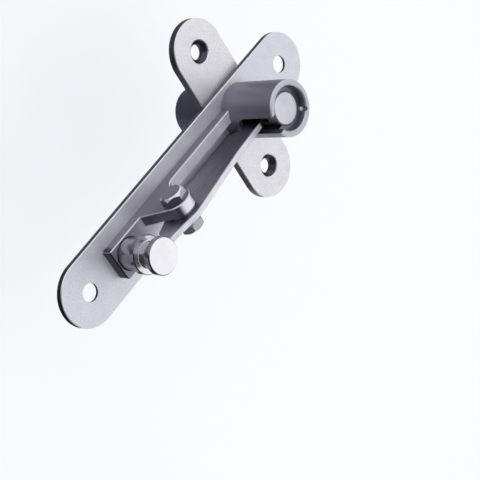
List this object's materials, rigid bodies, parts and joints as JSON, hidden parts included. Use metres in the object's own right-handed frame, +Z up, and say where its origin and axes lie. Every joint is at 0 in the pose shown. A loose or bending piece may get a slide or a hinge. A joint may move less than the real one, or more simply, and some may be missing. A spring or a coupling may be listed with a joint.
{
  "type": "pivot hinge",
  "caption": "Top pivot hinge for a swing door: an adjusting screw and a rocking lever raise or lower the pivot pin in its barrel, and the pin turns in the bushed cup of the door plate.",
  "frame": {"origin": "on the turning axis of the door, level with the frame plate's face that seats in the frame head", "axes": "+Z up along the turning axis into the frame head; +X along the frame plate from the adjusting screw towards the barrel; the door plate lies along Y, as with the door open at a right angle"},
  "size_m": [0.18, 0.0972, 0.0633],
  "materials": {
    "plate_steel": "brushed stainless steel plate, satin",
    "bracket_steel": "milled steel, satin, with brushed faces",
    "barrel_steel": "turned steel, satin, darker than the plate",
    "lever_steel": "cut and ground steel plate, satin",
    "turned_steel": "turned bright steel, semi-polished",
    "cup_steel": "turned steel, dark satin",
    "fastener_steel": "cold-formed steel, plain finish",
    "bush_steel": "hardened steel bush, dark oiled skin"
  },
  "bodies": {
    "frame_part": {"frame_plate": "plate_steel", "pin_barrel": "barrel_steel", "guide_bush": "bush_steel", "bush_key": "turned_steel", "lever_bracket": "bracket_steel", "bracket_screw_1": "fastener_steel", "bracket_screw_2": "fastener_steel", "bracket_screw_3": "fastener_steel", "pivot_bolt": "fastener_steel", "pivot_sleeve": "bush_steel", "pivot_collar": "fastener_steel", "pivot_washer": "fastener_steel", "pivot_nut": "fastener_steel"},
    "lever_arm": {"lever": "lever_steel", "drive_pin": "turned_steel"},
    "sliding_pin": {"pivot_pin": "turned_steel"},
    "screw_spool": {"adjusting_screw": "turned_steel"},
    "door_leaf": {"door_plate": "plate_steel", "socket_cup": "cup_steel", "socket_bush": "bush_steel"}
  },
  "joints": [
    {"name": "lever_turn", "type": "hinge", "parent": "frame_part", "child": "lever_arm", "pos_m": [-0.068, 0, 0.0175], "axis": [0, -1, 0], "range_deg": [0, 11]},
    {"name": "pin_slide", "type": "slide", "parent": "frame_part", "child": "sliding_pin", "axis": [0, 0, 1], "range_m": [0, 0.0131]},
    {"name": "screw_slide", "type": "slide", "parent": "frame_part", "child": "screw_spool", "axis": [0, 0, -1], "range_m": [0, 0.0032]},
    {"name": "door_swing", "type": "hinge", "parent": "frame_part", "child": "door_leaf", "pos_m": [0, 0, 0], "axis": [0, 0, 1], "continuous": true}
  ],
  "couplings": [
    {"joint": "pin_slide", "follows": "lever_turn", "m_per_rad": 0.068},
    {"joint": "screw_slide", "follows": "lever_turn", "m_per_rad": 0.0161}
  ]
}
